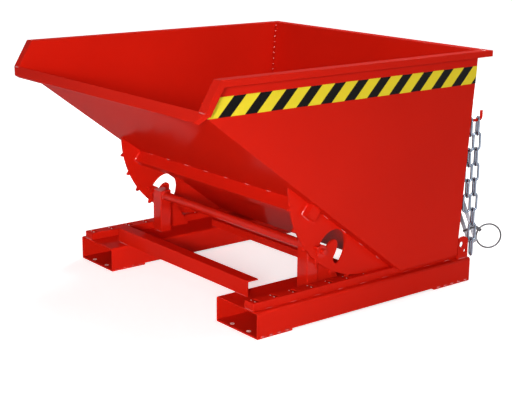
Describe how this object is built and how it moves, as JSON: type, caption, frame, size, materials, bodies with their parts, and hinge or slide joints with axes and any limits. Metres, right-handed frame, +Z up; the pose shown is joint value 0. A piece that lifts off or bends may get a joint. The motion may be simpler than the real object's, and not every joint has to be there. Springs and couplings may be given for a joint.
{
  "type": "forklift tipping hopper",
  "caption": "Red forklift tipping hopper: sheet-steel trough that rolls forward on toothed rockers to dump, over a low base with fork pockets, release cable and safety chain",
  "frame": {"origin": "On the floor, under the middle of the object without its loose release cable: x = 0 is the mid plane of the base and trough, z = 0 the underside of the foot plates.", "axes": "+X is the right side, with the chain, latch and cable; -Y is the dump lip; +Y is the end that the forks come from; +Z is up."},
  "size_m": [1.084, 1.3027, 0.784],
  "materials": {
    "red_paint": "gloss red enamel on welded sheet steel",
    "hazard_tape": "adhesive tape with slanted black and yellow stripes",
    "bright_steel": "plain steel",
    "zinc_steel": "bright zinc plating",
    "cable_sheath": "clear sheath over steel cable",
    "tie_plastic": "black nylon"
  },
  "bodies": {
    "base": {"fork_pocket_right": "red_paint", "fork_pocket_left": "red_paint", "foot_plate_front_right": "red_paint", "foot_plate_front_left": "red_paint", "foot_plate_rear_right": "red_paint", "foot_plate_rear_left": "red_paint", "roll_rail_right": "red_paint", "roll_rail_left": "red_paint", "guide_post_right": "red_paint", "guide_post_left": "red_paint", "guide_gusset_right": "red_paint", "guide_gusset_left": "red_paint", "guide_collar_right": "red_paint", "guide_collar_left": "red_paint", "guide_washer_right": "red_paint", "guide_washer_left": "red_paint", "front_cross_angle": "red_paint", "rear_cross_bar": "red_paint", "guide_tube": "red_paint", "latch_plate": "red_paint"},
    "roll_carriage": {"roll_centre_plug_right": "red_paint", "roll_centre_plug_left": "red_paint"},
    "trough": {"side_wall_right": "red_paint", "side_wall_left": "red_paint", "rocker_right": "red_paint", "rocker_left": "red_paint", "stop_pin_right": "red_paint", "stop_pin_left": "red_paint", "stiffener_cap_right": "red_paint", "stiffener_cap_left": "red_paint", "hazard_tape_right": "hazard_tape", "hazard_tape_left": "hazard_tape", "rear_wall": "red_paint", "bottom_sheet": "red_paint", "chute_sheet": "red_paint", "chute_stiffener": "red_paint", "latch_housing": "red_paint", "chain_hook": "red_paint", "cable_hook": "red_paint", "cable_lead": "cable_sheath", "cable_hank": "cable_sheath", "cable_tail": "cable_sheath", "cable_tie": "tie_plastic", "cable_ferrule": "bright_steel", "pull_ring": "bright_steel"},
    "latch_bolt": {"latch_bolt": "bright_steel"},
    "safety_chain": {"chain_main_strand": "zinc_steel", "chain_end_strand": "zinc_steel"}
  },
  "joints": [
    {"name": "rocker_roll", "type": "slide", "parent": "base", "child": "roll_carriage", "axis": [0, -1, 0], "range_m": [0, 0.38]},
    {"name": "hopper_tip", "type": "hinge", "parent": "roll_carriage", "child": "trough", "pos_m": [0, 0.08636, 0.4293], "axis": [1, 0, 0], "range_deg": [0, 66]},
    {"name": "latch_slide", "type": "slide", "parent": "trough", "child": "latch_bolt", "axis": [1, 0, 0], "range_m": [0, 0.02]},
    {"name": "chain_swing", "type": "hinge", "parent": "trough", "child": "safety_chain", "pos_m": [0.486, 0.55036, 0.549], "axis": [0, 1, 0], "range_deg": [-8, 8]}
  ],
  "couplings": [
    {"joint": "rocker_roll", "follows": "hopper_tip", "m_per_rad": 0.323}
  ]
}
